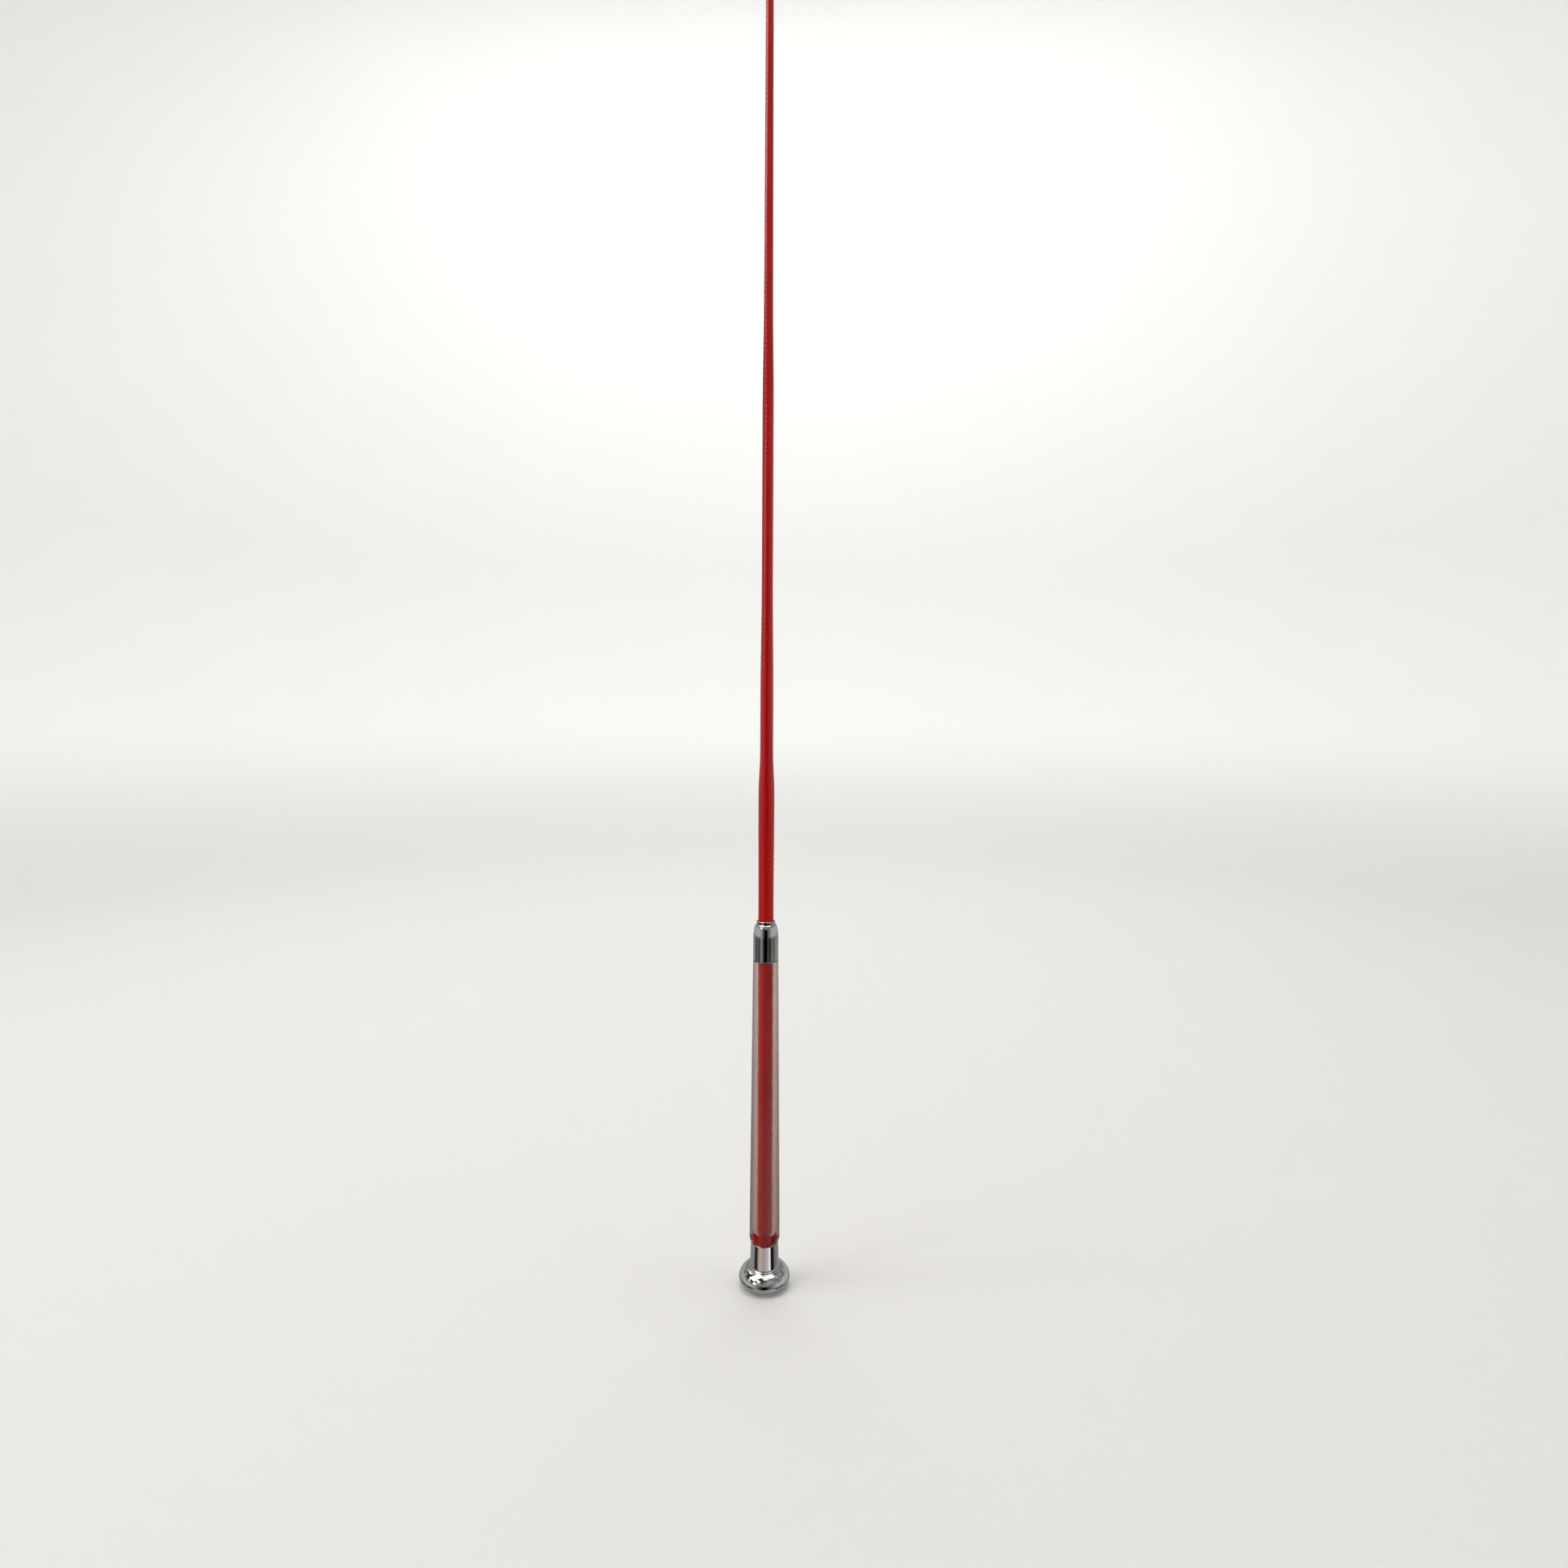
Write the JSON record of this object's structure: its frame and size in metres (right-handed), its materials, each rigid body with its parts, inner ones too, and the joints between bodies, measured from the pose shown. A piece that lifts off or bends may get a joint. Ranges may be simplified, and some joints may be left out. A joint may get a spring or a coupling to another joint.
{
  "type": "dressage whip",
  "caption": "Long tapered riding whip: braided shaft, clear tubular grip sleeve, metal ferrule above the grip, and a flanged metal nail-head cap at the butt.",
  "frame": {"origin": "centre of the flat end of the cap, at the butt", "axes": "+Z along the shaft from the cap to the tip; the whip is turned about Z, so X and Y can be any two directions across it"},
  "size_m": [0.033, 0.033, 1.1],
  "materials": {
    "chrome": "polished chrome plate",
    "steel": "plain turned steel",
    "clear_sleeve": "clear soft PVC, slightly smoky",
    "red_thread": "braided red thread under a thin lacquer",
    "black_nylon": "satin moulded nylon",
    "glass_fibre": "pultruded glass fibre",
    "cotton_winding": "undyed wound thread",
    "black_thread": "waxed wound thread"
  },
  "bodies": {
    "whip": {"cap_shell": "chrome", "cap_end_disc": "chrome", "balance_weight": "steel", "cap_insert": "black_nylon", "cap_pin": "steel", "core_rod": "glass_fibre", "underlay_inner": "cotton_winding", "underlay_middle": "cotton_winding", "underlay_outer": "cotton_winding", "shaft_braid": "red_thread", "butt_binding": "black_thread", "grip_sleeve": "clear_sleeve", "ferrule_shell": "chrome", "ferrule_bush": "black_nylon", "tip_binding": "black_thread", "tip_cap": "black_nylon"}
  },
  "joints": []
}
